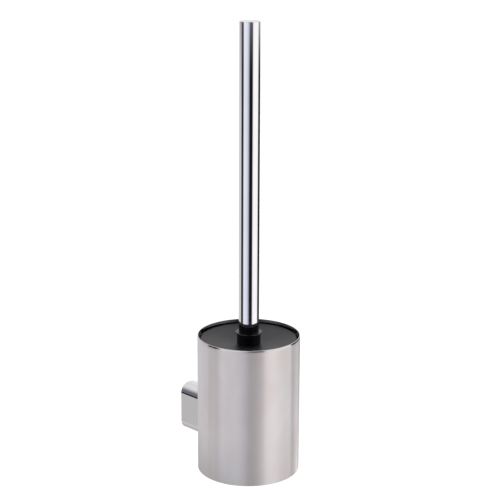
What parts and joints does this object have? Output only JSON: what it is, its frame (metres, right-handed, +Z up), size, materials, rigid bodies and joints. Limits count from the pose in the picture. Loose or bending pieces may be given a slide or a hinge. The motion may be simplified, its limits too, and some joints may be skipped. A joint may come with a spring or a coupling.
{
  "type": "toilet brush holder",
  "caption": "Wall-mounted toilet brush holder: round brushed steel cup on a chrome bracket, with a lift-out liner and a lidded brush on a long chrome handle.",
  "frame": {"origin": "centre of the bracket's back face, on the wall", "axes": "+Z up along the handle, +Y into the wall, -Y towards the room, +X to the right as seen from the room"},
  "size_m": [0.0908, 0.1243, 0.4],
  "materials": {
    "brushed_steel": "satin, brushed round the cup, with a polished rim",
    "chrome": "polished",
    "black_plastic": "moulded, fine satin texture",
    "black_gloss": "moulded, semi-gloss",
    "liner_plastic": "moulded, matt",
    "zinc_steel": "zinc plated",
    "screw_steel": "plain stainless",
    "brass": "machined",
    "rubber": "matt",
    "bristle": "nylon filaments"
  },
  "bodies": {
    "holder": {"cup_shell": "brushed_steel", "cup_floor": "brushed_steel", "clamp_plate": "zinc_steel", "cup_screws": "screw_steel", "lock_washers": "zinc_steel", "bracket_post": "chrome", "wall_plate": "zinc_steel", "grub_screw": "screw_steel"},
    "liner": {"liner": "liner_plastic"},
    "brush": {"lid": "black_plastic", "seal_washer": "rubber", "collar": "black_gloss", "handle_tube": "chrome", "handle_end_cap": "chrome", "handle_insert": "black_plastic", "threaded_bush": "brass", "stem_stud": "screw_steel", "brush_stem": "black_plastic"},
    "head": {"head_core": "black_plastic", "bristles": "bristle"}
  },
  "joints": [
    {"name": "liner_lift", "type": "slide", "parent": "holder", "child": "liner", "axis": [0, 0, 1], "range_m": [0, 0.13]},
    {"name": "brush_lift", "type": "slide", "parent": "liner", "child": "brush", "axis": [0, 0, 1], "range_m": [0, 0.125]},
    {"name": "head_unscrew", "type": "hinge", "parent": "brush", "child": "head", "pos_m": [0, -0.079, 0.0407], "axis": [0, 0, -1], "range_deg": [0, 1080]}
  ]
}
